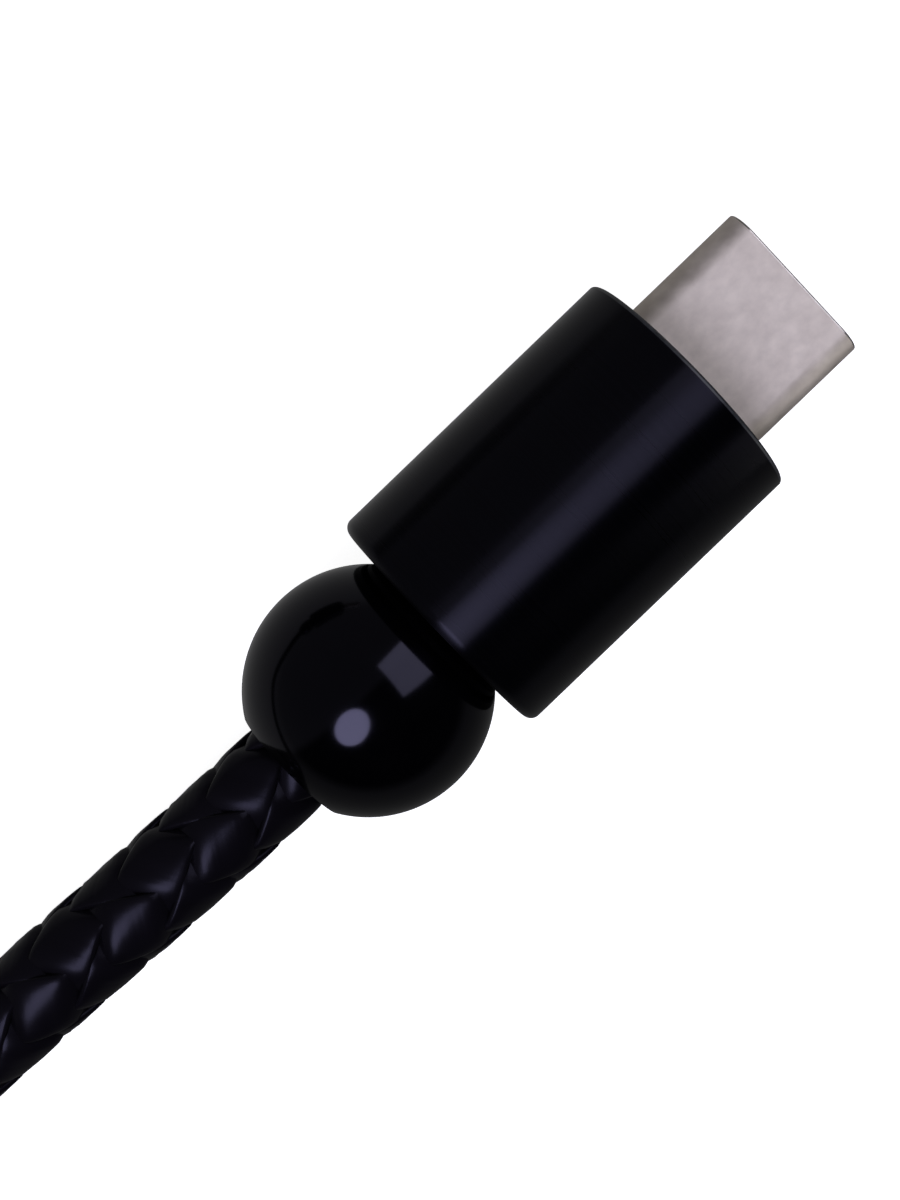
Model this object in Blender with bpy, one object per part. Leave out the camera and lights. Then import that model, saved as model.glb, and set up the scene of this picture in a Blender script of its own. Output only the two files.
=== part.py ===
"""Short braided charging cable: a USB-C plug on one end of the cord, a USB-A plug on the other.

Each end is a steel plug that stands out of a black barrel. A round bead sits in the mouth of
each barrel, threaded on the cord, where it can turn and slide. Inside a barrel are the plug's
insulator and contacts, the soldered wires, a mould that centres them and a bush for the cord.

The USB-C end lies along +X on the plane z = 0, with the middle of its outline at x = 0. The cord
leaves it along -X, comes down to the plane, turns back and runs into the USB-A end.
"""

import math

import bmesh
import bpy
from mathutils import Matrix, Vector

MM = 0.001

# Fits
GAP = 0.3 * MM  # between large pieces that touch
FINE_GAP = 0.06 * MM  # between the small pieces inside a plug
RUNNING_GAP = 0.05 * MM  # radial play of the bead on its grip ring

# Cord: a plaited leather sleeve round a thin round cable
CORD_DIAMETER = 4.5 * MM
CORD_BURIED = 4.5 * MM  # length of cord inside each barrel
JACKET_DIAMETER = 2.8 * MM
JACKET_LENGTH = 1.3 * MM
WIRE_DIAMETER = 0.7 * MM
WIRE_SPREAD = 0.55 * MM  # how far each wire starts from the cable's centre, in y and in z
WIRE_COLOURS = ("red", "white", "green", "black")

# Bead and the grip ring inside it
BEAD_DIAMETER = 11.5 * MM
BEAD_HOLE_DIAMETER = 5.7 * MM
BEAD_EDGE = 0.25 * MM
BEAD_SUNK = 1.45 * MM  # how far the bead's ball reaches into the barrel's mouth
GRIP_RING_LENGTH = 4.0 * MM
GRIP_GROOVE_DEPTH = 0.45 * MM

# Barrels
BARREL_WALL = 1.2 * MM
BARREL_FRONT_WALL = 1.2 * MM
BARREL_FRONT_EDGE = 0.2 * MM
BARREL_REAR_EDGE = 0.9 * MM
BUSH_LENGTH = 2.6 * MM
FERRULE_LENGTH = 1.8 * MM
FERRULE_WALL = 0.4 * MM
MOULD_OVERHANG = 0.4 * MM  # how far the inner mould reaches past the rear can
C_BARREL_DIAMETER = 12.3 * MM
C_BARREL_LENGTH = 15.7 * MM
A_BARREL_DIAMETER = 15.5 * MM
A_BARREL_LENGTH = 18.0 * MM

# Rear cans
CAN_WALL = 0.2 * MM
CAN_GAP_TO_SHELL = 0.3 * MM

# USB-C plug
C_SHELL_WIDTH = 8.25 * MM
C_SHELL_HEIGHT = 2.40 * MM
C_SHELL_WALL = 0.20 * MM
C_SHELL_EXPOSED = 6.65 * MM
C_SHELL_BURIED = 3.2 * MM
C_INSULATOR_WALL = 0.29 * MM
C_INSULATOR_SET_BACK = 0.45 * MM  # from the shell's front edge
C_MOUTH_HEIGHT = 0.9 * MM
C_MOUTH_LENGTH = 0.8 * MM
C_GROUND_RECESS = 0.17 * MM
C_GROUND_RECESS_BACK = 3.6 * MM  # from the insulator's front face to the recess's rear end
C_GROUND_RECESS_FRONT = 1.0 * MM
C_INSULATOR_SIDE_WALL = 0.42 * MM
C_CONTACT_MARGIN = 0.695 * MM  # from the insulator's side wall to the middle of the outermost contact
C_CONTACT_WIDTH = 0.25 * MM
C_CONTACT_THICKNESS = 0.10 * MM
C_CONTACT_REACH = 0.37 * MM  # from the centre plane to a contact's bump
C_UPPER_CONTACTS = (1, 4, 5, 6, 7, 9, 12)
C_LOWER_CONTACTS = (1, 4, 9, 12)
C_CONTACTS_IN_ROW = 12
C_LATCH_THICKNESS = 0.15 * MM
C_LATCH_HEIGHT = 0.5 * MM
C_LATCH_REACH = 4.6 * MM  # how far the latch arms reach past the barrel's front face
C_BOARD_THICKNESS = 0.8 * MM
C_BOARD_LENGTH = 4.2 * MM
C_RESISTOR_SIZE = (1.0 * MM, 0.5 * MM, 0.35 * MM)
C_CAN_WIDTH = C_SHELL_WIDTH
C_CAN_HEIGHT = 4.0 * MM
C_CAN_LENGTH = 5.1 * MM
C_CAN_CORNER = 1.2 * MM
C_BOARD_WIDTH = C_CAN_WIDTH - 2 * CAN_WALL - 2 * GAP

# USB-A plug
A_SHELL_WIDTH = 12.0 * MM
A_SHELL_HEIGHT = 4.5 * MM
A_SHELL_WALL = 0.30 * MM
A_SHELL_CORNER = 0.6 * MM
A_SHELL_EXPOSED = 12.0 * MM
A_SHELL_BURIED = 3.5 * MM
A_WINDOW_SIZE = (2.0 * MM, 2.5 * MM)
A_WINDOW_FROM_TIP = 6.2 * MM
A_WINDOW_SPACING = 5.0 * MM
A_TONGUE_TOP = -0.10 * MM  # height of the tongue's upper face, from the plug's centre
A_TONGUE_SET_BACK = 0.4 * MM
A_GROOVE_DEPTH = 0.25 * MM
A_CONTACT_THICKNESS = 0.15 * MM
A_CONTACT_WIDTH = 1.0 * MM
A_CONTACT_PLACES = (-3.5 * MM, -1.0 * MM, 1.0 * MM, 3.5 * MM)
A_CONTACT_FROM_TIP = (1.3 * MM, 2.3 * MM, 2.3 * MM, 1.3 * MM)
A_CONTACT_TAIL = 2.0 * MM
A_RETAINER_FRONT = 2.6 * MM  # from the barrel's front face
A_CAN_STEP = 0.5 * MM  # how much narrower than the shell the can is, on each side
A_CAN_WIDTH = A_SHELL_WIDTH - 2 * A_CAN_STEP
A_CAN_HEIGHT = 4.6 * MM
A_CAN_LENGTH = 5.8 * MM
A_CAN_CORNER = 1.0 * MM

# Where the two ends lie
C_FRONT_X = (C_BARREL_LENGTH - C_SHELL_EXPOSED) / 2
C_AXIS_Z = C_BARREL_DIAMETER / 2
A_REAR_X = -11.0 * MM
A_FRONT_X = A_REAR_X + A_BARREL_LENGTH
A_Y = 50.0 * MM
A_AXIS_Z = A_BARREL_DIAMETER / 2

# The cord's route between the two barrels, in millimetres
ROUTE_MM = (
    (-18.0, 0.05, 6.15), (-24.0, 0.12, 6.15), (-29.5, 0.27, 6.15), (-35.5, 0.46, 5.7),
    (-42.0, 0.5, 4.6), (-49.0, 0.5, 3.4), (-56.0, 0.7, 2.6), (-62.9, 1.8, 2.45),
    (-69.3, 4.5, 2.45), (-74.8, 8.9, 2.45), (-78.8, 14.7, 2.45), (-80.9, 21.4, 2.45),
    (-81.0, 28.4, 2.45), (-78.9, 35.0, 2.45), (-74.8, 40.7, 2.45), (-69.3, 45.0, 2.45),
    (-62.9, 47.9, 2.5), (-56.1, 49.4, 3.0), (-49.4, 49.9, 4.15), (-43.2, 50.0, 5.6),
    (-37.2, 50.0, 6.95), (-31.8, 50.0, 7.65), (-27.5, 50.0, 7.75), (-22.5, 50.0, 7.75),
    (-17.0, 50.0, 7.75),
)
ROUTE_SAMPLES = 24  # per stretch between two route points, to measure the curve
CORD_POINT_SPACING = 2 * CORD_DIAMETER

ROUND_STEPS = 48
WELD = 0.001 * MM
BEAD_ARC_STEPS = 16
CORNER_STEPS = 6


# Materials

def finish(name, colour, roughness, metallic=0.0):
    """A Principled material; colour is linear red, green, blue."""
    made = bpy.data.materials.new(name)
    made.use_nodes = True
    shader = made.node_tree.nodes["Principled BSDF"]
    shader.inputs["Base Color"].default_value = (*colour, 1.0)
    shader.inputs["Roughness"].default_value = roughness
    shader.inputs["Metallic"].default_value = metallic
    made.diffuse_color = (*colour, 1.0)
    return made


def all_finishes():
    return {
        "black_barrel": finish("black_barrel", (0.006, 0.006, 0.009), 0.22),
        "black_bead": finish("black_bead", (0.004, 0.004, 0.006), 0.06),
        "black_leather": finish("black_leather", (0.012, 0.011, 0.012), 0.42),
        "plug_steel": finish("plug_steel", (0.46, 0.44, 0.44), 0.33, 1.0),
        "can_steel": finish("can_steel", (0.50, 0.50, 0.50), 0.40, 1.0),
        "spring_steel": finish("spring_steel", (0.55, 0.54, 0.52), 0.25, 1.0),
        "gold_contact": finish("gold_contact", (0.83, 0.60, 0.24), 0.22, 1.0),
        "ferrule_brass": finish("ferrule_brass", (0.68, 0.50, 0.24), 0.30, 1.0),
        "black_insulator": finish("black_insulator", (0.012, 0.012, 0.012), 0.5),
        "white_insulator": finish("white_insulator", (0.75, 0.75, 0.72), 0.5),
        "green_board": finish("green_board", (0.010, 0.10, 0.035), 0.4),
        "resistor_black": finish("resistor_black", (0.02, 0.02, 0.02), 0.5),
        "mould_clear": finish("mould_clear", (0.55, 0.54, 0.50), 0.45),
        "bush_black": finish("bush_black", (0.012, 0.012, 0.014), 0.55),
        "grip_rubber": finish("grip_rubber", (0.015, 0.015, 0.015), 0.8),
        "cable_jacket": finish("cable_jacket", (0.03, 0.03, 0.03), 0.6),
        "wire_red": finish("wire_red", (0.45, 0.02, 0.02), 0.45),
        "wire_white": finish("wire_white", (0.75, 0.75, 0.75), 0.45),
        "wire_green": finish("wire_green", (0.02, 0.25, 0.05), 0.45),
        "wire_black": finish("wire_black", (0.012, 0.012, 0.012), 0.45),
    }


# Outlines in (y, z), counterclockwise seen from +X, and profiles in (x, radius)

def rounded_rectangle(width, height, corner, centre_z=0.0):
    points = []
    for turn, (side_y, side_z) in enumerate(((1, 1), (-1, 1), (-1, -1), (1, -1))):
        centre = (side_y * (width / 2 - corner), side_z * (height / 2 - corner))
        for step in range(CORNER_STEPS + 1):
            angle = math.pi / 2 * (turn + step / CORNER_STEPS)
            points.append((
                centre[0] + corner * math.cos(angle),
                centre_z + centre[1] + corner * math.sin(angle),
            ))
    return points


def rectangle(width, height, centre_y=0.0, centre_z=0.0):
    y, z = width / 2, height / 2
    return [(centre_y + a * y, centre_z + b * z) for a, b in ((1, 1), (-1, 1), (-1, -1), (1, -1))]


def arc(centre_x, centre_r, radius, start, end, steps):
    """Points of an arc in (x, radius); the angles are in degrees from +X."""
    angles = [math.radians(start + (end - start) * i / steps) for i in range(steps + 1)]
    return [(centre_x + radius * math.cos(a), centre_r + radius * math.sin(a)) for a in angles]


# Solids along the local X axis

def keep(name, bm, parent, material, smooth_below=35):
    """Turns the bmesh into an object under the parent and shades it."""
    bmesh.ops.recalc_face_normals(bm, faces=bm.faces)
    mesh = bpy.data.meshes.new(name)
    bm.to_mesh(mesh)
    bm.free()
    mesh.shade_smooth()
    mesh.set_sharp_from_angle(angle=math.radians(smooth_below))
    made = bpy.data.objects.new(name, mesh)
    bpy.context.scene.collection.objects.link(made)
    made.parent = parent
    if material is not None:
        mesh.materials.append(material)
    return made


def turned(name, profile, parent, material):
    """A closed profile that stays clear of the axis, turned all the way round X."""
    bm = bmesh.new()
    points = [bm.verts.new((x, 0.0, r)) for x, r in profile]
    edges = [bm.edges.new((a, b)) for a, b in zip(points, points[1:] + points[:1])]
    bmesh.ops.spin(
        bm, geom=points + edges, cent=(0, 0, 0), axis=(1, 0, 0), angle=2 * math.pi,
        steps=ROUND_STEPS, use_merge=True,
    )
    bmesh.ops.remove_doubles(bm, verts=bm.verts, dist=WELD)
    return keep(name, bm, parent, material)


def extruded(name, outline, x_from, x_to, parent, material):
    """An outline in (y, z) drawn out along X."""
    bm = bmesh.new()
    face = bm.faces.new([bm.verts.new((x_from, y, z)) for y, z in outline])
    grown = bmesh.ops.extrude_face_region(bm, geom=[face])["geom"]
    moved = [g for g in grown if isinstance(g, bmesh.types.BMVert)]
    bmesh.ops.translate(bm, verts=moved, vec=(x_to - x_from, 0, 0))
    return keep(name, bm, parent, material)


def sleeve(name, outer, inner, parent, material):
    """A wall between an outer and an inner chain of outlines, each a list of (x, outline)."""
    bm = bmesh.new()

    def loops(chain):
        return [[bm.verts.new((x, y, z)) for y, z in outline] for x, outline in chain]

    def join(first, second):
        for i in range(len(first)):
            j = (i + 1) % len(first)
            bm.faces.new((first[i], first[j], second[j], second[i]))

    outside, inside = loops(outer), loops(inner)
    for chain in (outside, inside):
        for first, second in zip(chain, chain[1:]):
            join(first, second)
    join(outside[0], inside[0])
    join(outside[-1], inside[-1])
    return keep(name, bm, parent, material)


def strip(name, path, width, thickness, centre_y, parent, material):
    """A bent strip of sheet metal: a path in (x, z) with a thickness, drawn out along Y."""
    bm = bmesh.new()
    upper, lower = [], []
    for i, (x, z) in enumerate(path):
        before, after = path[max(i - 1, 0)], path[min(i + 1, len(path) - 1)]
        along = Vector((after[0] - before[0], after[1] - before[1])).normalized()
        offset = Vector((-along.y, along.x)) * thickness / 2
        upper.append((x + offset.x, z + offset.y))
        lower.append((x - offset.x, z - offset.y))
    outline = upper + lower[::-1]
    face = bm.faces.new([bm.verts.new((x, centre_y - width / 2, z)) for x, z in outline])
    grown = bmesh.ops.extrude_face_region(bm, geom=[face])["geom"]
    moved = [g for g in grown if isinstance(g, bmesh.types.BMVert)]
    bmesh.ops.translate(bm, verts=moved, vec=(0, width, 0))
    return keep(name, bm, parent, material)


def block(name, low, high, parent, material):
    outline = [(high[1], high[2]), (low[1], high[2]), (low[1], low[2]), (high[1], low[2])]
    return extruded(name, outline, low[0], high[0], parent, material)


def cut(target, cutter):
    """Takes the cutter's shape out of the target; the cutter is a helper and not a piece."""
    cutter.hide_render = True
    cutter.display_type = "WIRE"
    modifier = target.modifiers.new("cut_" + cutter.name, "BOOLEAN")
    modifier.operation = "DIFFERENCE"
    modifier.solver = "EXACT"
    modifier.object = cutter


def tube(name, points, diameter, resolution, parent, material):
    """A round curve through the points, with flat ends."""
    curve = bpy.data.curves.new(name, "CURVE")
    curve.dimensions = "3D"
    curve.bevel_depth = diameter / 2
    curve.bevel_resolution = resolution
    curve.use_fill_caps = True
    spline = curve.splines.new("POLY")
    spline.points.add(len(points) - 1)
    for point, place in zip(spline.points, points):
        point.co = (*place, 1.0)
    made = bpy.data.objects.new(name, curve)
    bpy.context.scene.collection.objects.link(made)
    made.parent = parent
    curve.materials.append(material)
    return made


def place(name, location):
    made = bpy.data.objects.new(name, None)
    bpy.context.scene.collection.objects.link(made)
    made.location = location
    return made


# Pieces that both ends have

def barrel(prefix, diameter, length, window, parent, finishes):
    """A turned tube, closed in front but for the plug's window and open at the rear."""
    outer = diameter / 2
    bore = outer - BARREL_WALL
    pilot = max(z for y, z in window) / 2
    rear, front = -length, 0.0
    profile = [(front, pilot)]
    profile += arc(
        front - BARREL_FRONT_EDGE, outer - BARREL_FRONT_EDGE, BARREL_FRONT_EDGE, 0, 90, 3
    )
    profile += arc(
        rear + BARREL_REAR_EDGE, outer - BARREL_REAR_EDGE, BARREL_REAR_EDGE, 90, 180, 4
    )
    profile += [(rear, bore), (front - BARREL_FRONT_WALL, bore)]
    profile += [(front - BARREL_FRONT_WALL, pilot)]
    made = turned(prefix + "_barrel", profile, parent, finishes["black_barrel"])
    margin = BARREL_FRONT_WALL
    cutter = extruded(
        prefix + "_window_cutter", window, -2 * margin, margin, parent, None
    )
    cut(made, cutter)
    return made


def bead_centre(length):
    """The bead's centre on the barrel's axis, behind the rear face."""
    return -length - BEAD_DIAMETER / 2 + BEAD_SUNK


def bush(prefix, diameter, length, parent, finishes):
    """The ring in the barrel's mouth that holds the cord, dished at the rear for the bead."""
    outer = diameter / 2 - BARREL_WALL - GAP
    hole = CORD_DIAMETER / 2 + GAP
    dish = BEAD_DIAMETER / 2 + GAP
    centre = bead_centre(length)
    edge_angle = math.degrees(math.acos((-length - centre) / dish))
    hole_angle = math.degrees(math.asin(hole / dish))
    profile = [(-length + BUSH_LENGTH, hole), (-length + BUSH_LENGTH, outer), (-length, outer)]
    profile += arc(centre, 0.0, dish, edge_angle, hole_angle, 5)
    return turned(prefix + "_cord_bush", profile, parent, finishes["bush_black"])


def ferrule(prefix, length, parent, finishes):
    """The crimped band round the end of the plait, with a groove where the tool bit."""
    inner = CORD_DIAMETER / 2 + GAP
    outer = inner + FERRULE_WALL
    rear = -length + BUSH_LENGTH + GAP
    front = rear + FERRULE_LENGTH
    middle, bite = (rear + front) / 2, FERRULE_WALL / 3
    profile = [
        (front, inner), (front, outer - bite), (front - bite, outer),
        (middle + 2 * bite, outer), (middle, outer - bite), (middle - 2 * bite, outer),
        (rear + bite, outer), (rear, outer - bite), (rear, inner),
    ]
    return turned(prefix + "_cord_ferrule", profile, parent, finishes["ferrule_brass"])


def jacket_front(length):
    return -length + CORD_BURIED + GAP + JACKET_LENGTH


def jacket(prefix, length, parent, finishes):
    """The stub of the inner cable, stripped back in front of the cord's end."""
    outline = []
    for step in range(ROUND_STEPS // 2):
        angle = 4 * math.pi * step / ROUND_STEPS
        outline.append((JACKET_DIAMETER / 2 * math.cos(angle), JACKET_DIAMETER / 2 * math.sin(angle)))
    front = jacket_front(length)
    return extruded(
        prefix + "_cable_jacket", outline, front - JACKET_LENGTH, front, parent,
        finishes["cable_jacket"],
    )


def wires(prefix, length, ends, parent, finishes):
    """Four wires from the stripped cable to where each is soldered, given as (x, y, z)."""
    start = jacket_front(length) + GAP
    corners = ((-1, 1), (-1, -1), (1, -1), (1, 1))
    for colour, (side_y, side_z), end in zip(WIRE_COLOURS, corners, ends):
        first = Vector((start, side_y * WIRE_SPREAD, side_z * WIRE_SPREAD))
        last = Vector(end)
        run = last.x - start
        points = []
        for step in range(9):
            t = step / 8
            blend = t * t * (3 - 2 * t)
            points.append((start + run * 0.75 * t, *first.yz.lerp(last.yz, blend)))
        points.append(tuple(last))
        tube(
            f"{prefix}_wire_{colour}", points, WIRE_DIAMETER, 2, parent,
            finishes["wire_" + colour],
        )


def bead(prefix, length, finishes, parent):
    """A ball bored through for the cord, with a groove inside where its grip ring sits."""
    radius, hole = BEAD_DIAMETER / 2, BEAD_HOLE_DIAMETER / 2
    groove = hole + GRIP_GROOVE_DEPTH
    half_groove = GRIP_RING_LENGTH / 2 + RUNNING_GAP
    rim_angle = math.degrees(math.asin((hole + BEAD_EDGE) / radius))
    rim_x = math.sqrt(radius**2 - (hole + BEAD_EDGE) ** 2)
    profile = arc(0.0, 0.0, radius, rim_angle, 180 - rim_angle, BEAD_ARC_STEPS)
    profile += [(-rim_x + BEAD_EDGE / 2, hole), (-half_groove, hole), (-half_groove, groove)]
    profile += [(half_groove, groove), (half_groove, hole), (rim_x - BEAD_EDGE / 2, hole)]
    ring_place = place(prefix + "_bead_place", (bead_centre(length), 0, 0))
    ring_place.parent = parent
    turned(prefix + "_bead", profile, ring_place, finishes["black_bead"])

    outer = groove - RUNNING_GAP
    inner = CORD_DIAMETER / 2 + GAP
    half = GRIP_RING_LENGTH / 2
    edge = (outer - inner) / 4
    profile = [
        (half, inner + edge), (half, outer - edge), (half - edge, outer), (edge - half, outer),
        (-half, outer - edge), (-half, inner + edge), (edge - half, inner), (half - edge, inner),
    ]
    turned(prefix + "_bead_grip_ring", profile, ring_place, finishes["grip_rubber"])


def rear_can(prefix, width, height, corner, front, length, parent, finishes):
    """The thin steel can that screens the soldered joints."""
    outer = rounded_rectangle(width, height, corner)
    inner = rounded_rectangle(width - 2 * CAN_WALL, height - 2 * CAN_WALL, corner - CAN_WALL)
    rear = front - length
    return sleeve(
        prefix + "_rear_can", [(rear, outer), (front, outer)], [(rear, inner), (front, inner)],
        parent, finishes["can_steel"],
    )


def inner_mould(prefix, diameter, can_size, can_corner, front, length, parent, finishes):
    """A moulded plug that fills the bore round the can."""
    radius = diameter / 2 - BARREL_WALL - GAP
    outline = []
    for step in range(ROUND_STEPS):
        angle = 2 * math.pi * step / ROUND_STEPS
        outline.append((radius * math.cos(angle), radius * math.sin(angle)))
    rear = front - length - MOULD_OVERHANG
    made = extruded(
        prefix + "_inner_mould", outline, rear, front, parent, finishes["mould_clear"]
    )
    pocket = rounded_rectangle(
        can_size[0] + 2 * GAP, can_size[1] + 2 * GAP, can_corner + GAP
    )
    cutter = extruded(
        prefix + "_pocket_cutter", pocket, rear - GAP, front + GAP, parent, None
    )
    cut(made, cutter)
    return made


# The USB-C end

def stadium(width, height):
    return rounded_rectangle(width, height, height / 2)


def c_contact_place(number, cavity_width):
    """y of a contact, 1 to 12 across the row."""
    share = (number - 1) / (C_CONTACTS_IN_ROW - 1) - 0.5
    return share * (cavity_width - 2 * C_CONTACT_MARGIN)


def c_plug(parent, finishes):
    shell_inner_width = C_SHELL_WIDTH - 2 * C_SHELL_WALL
    shell_inner_height = C_SHELL_HEIGHT - 2 * C_SHELL_WALL
    tip, shell_rear = C_SHELL_EXPOSED, -C_SHELL_BURIED
    outer = stadium(C_SHELL_WIDTH, C_SHELL_HEIGHT)
    inner = stadium(shell_inner_width, shell_inner_height)
    sleeve(
        "usb_c_shell", [(shell_rear, outer), (tip, outer)], [(shell_rear, inner), (tip, inner)],
        parent, finishes["plug_steel"],
    )

    front = tip - C_INSULATOR_SET_BACK
    rear = shell_rear + C_LATCH_THICKNESS
    body_width = shell_inner_width - 2 * FINE_GAP
    body_height = shell_inner_height - 2 * FINE_GAP
    cavity_width = body_width - 2 * C_INSULATOR_SIDE_WALL
    cavity_height = body_height - 2 * C_INSULATOR_WALL
    body = rounded_rectangle(body_width, body_height, 0.45 * body_height)
    waist_height = body_height - 2 * C_GROUND_RECESS
    waist = rounded_rectangle(body_width, waist_height, 0.45 * waist_height)
    cavity = rounded_rectangle(cavity_width, cavity_height, 0.1 * MM)
    mouth = rounded_rectangle(cavity_width, C_MOUTH_HEIGHT, 0.1 * MM)
    recess_rear, recess_front = front - C_GROUND_RECESS_BACK, front - C_GROUND_RECESS_FRONT
    sleeve(
        "usb_c_insulator",
        [(rear, body), (recess_rear, body), (recess_rear, waist), (recess_front, waist),
         (recess_front, body), (front, body)],
        [(rear, cavity), (front - C_MOUTH_LENGTH, cavity), (front - C_MOUTH_LENGTH, mouth),
         (front, mouth)],
        parent, finishes["black_insulator"],
    )

    spring_thickness = C_GROUND_RECESS - FINE_GAP
    spring_height = waist_height / 2 + FINE_GAP + spring_thickness / 2
    spring_path = [(recess_rear + FINE_GAP, spring_height), (recess_front - FINE_GAP, spring_height)]
    spring_width = body_width - body_height
    for side, word in ((1, "upper"), (-1, "lower")):
        path = [(x, side * z) for x, z in spring_path]
        strip(
            f"usb_c_ground_spring_{word}", path, spring_width, spring_thickness, 0.0, parent,
            finishes["spring_steel"],
        )

    board_front = shell_rear - FINE_GAP - C_LATCH_THICKNESS
    board_rear = board_front - C_BOARD_LENGTH
    half_board = C_BOARD_THICKNESS / 2
    block(
        "usb_c_circuit_board", (board_rear, -C_BOARD_WIDTH / 2, -half_board),
        (board_front, C_BOARD_WIDTH / 2, half_board), parent, finishes["green_board"],
    )
    long, wide, thick = C_RESISTOR_SIZE
    resistor_top = -half_board - FINE_GAP
    block(
        "usb_c_resistor", (board_rear + GAP, -wide / 2, resistor_top - thick),
        (board_rear + GAP + long, wide / 2, resistor_top), parent, finishes["resistor_black"],
    )

    half = C_CONTACT_THICKNESS / 2
    tail_height = half_board + FINE_GAP + half
    beam_height = cavity_height / 2 - FINE_GAP - half
    bump_height = C_CONTACT_REACH + half
    bump_x = front - 2.3 * C_MOUTH_LENGTH
    contact_path = [
        (board_front - C_BOARD_LENGTH / 3, tail_height), (board_front + FINE_GAP, tail_height),
        (rear, beam_height), (bump_x - 2 * MM, beam_height), (bump_x - 0.4 * MM, bump_height),
        (bump_x, bump_height), (front - C_MOUTH_LENGTH - FINE_GAP, beam_height - half),
    ]
    for side, row, numbers in ((1, "a", C_UPPER_CONTACTS), (-1, "b", C_LOWER_CONTACTS)):
        for number in numbers:
            centre_y = side * c_contact_place(number, cavity_width)
            strip(
                f"usb_c_contact_{row}{number}", [(x, side * z) for x, z in contact_path],
                C_CONTACT_WIDTH, C_CONTACT_THICKNESS, centre_y, parent, finishes["gold_contact"],
            )

    arm_outer = cavity_width / 2 - FINE_GAP
    arm_inner = arm_outer - C_LATCH_THICKNESS
    latch_rear = rear + FINE_GAP
    outline = [
        (latch_rear, -arm_outer), (C_LATCH_REACH, -arm_outer), (C_LATCH_REACH, -arm_inner),
        (latch_rear + C_LATCH_THICKNESS, -arm_inner), (latch_rear + C_LATCH_THICKNESS, arm_inner),
        (C_LATCH_REACH, arm_inner), (C_LATCH_REACH, arm_outer), (latch_rear, arm_outer),
    ]
    latch = bmesh.new()
    half_latch = C_LATCH_HEIGHT / 2
    face = latch.faces.new([latch.verts.new((x, y, -half_latch)) for x, y in outline])
    grown = bmesh.ops.extrude_face_region(latch, geom=[face])["geom"]
    moved = [g for g in grown if isinstance(g, bmesh.types.BMVert)]
    bmesh.ops.translate(latch, verts=moved, vec=(0, 0, C_LATCH_HEIGHT))
    keep("usb_c_latch_spring", latch, parent, finishes["spring_steel"])

    can_front = shell_rear - CAN_GAP_TO_SHELL
    rear_can(
        "usb_c", C_CAN_WIDTH, C_CAN_HEIGHT, C_CAN_CORNER, can_front, C_CAN_LENGTH, parent, finishes
    )
    inner_mould(
        "usb_c", C_BARREL_DIAMETER, (C_CAN_WIDTH, C_CAN_HEIGHT), C_CAN_CORNER, can_front,
        C_CAN_LENGTH, parent, finishes,
    )
    solder_height = half_board + FINE_GAP + WIRE_DIAMETER / 2
    wire_pitch = C_BOARD_WIDTH / (len(WIRE_COLOURS) + 1)
    ends = [
        (board_rear + C_BOARD_LENGTH / 4, (i - 1.5) * wire_pitch, solder_height)
        for i in range(len(WIRE_COLOURS))
    ]
    wires("usb_c", C_BARREL_LENGTH, ends, parent, finishes)


def c_end(finishes):
    parent = place("usb_c_end", (C_FRONT_X, 0, C_AXIS_Z))
    window = stadium(C_SHELL_WIDTH + 2 * GAP, C_SHELL_HEIGHT + 2 * GAP)
    barrel("usb_c", C_BARREL_DIAMETER, C_BARREL_LENGTH, window, parent, finishes)
    c_plug(parent, finishes)
    bush("usb_c", C_BARREL_DIAMETER, C_BARREL_LENGTH, parent, finishes)
    ferrule("usb_c", C_BARREL_LENGTH, parent, finishes)
    jacket("usb_c", C_BARREL_LENGTH, parent, finishes)
    bead("usb_c", C_BARREL_LENGTH, finishes, parent)


# The USB-A end

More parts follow.
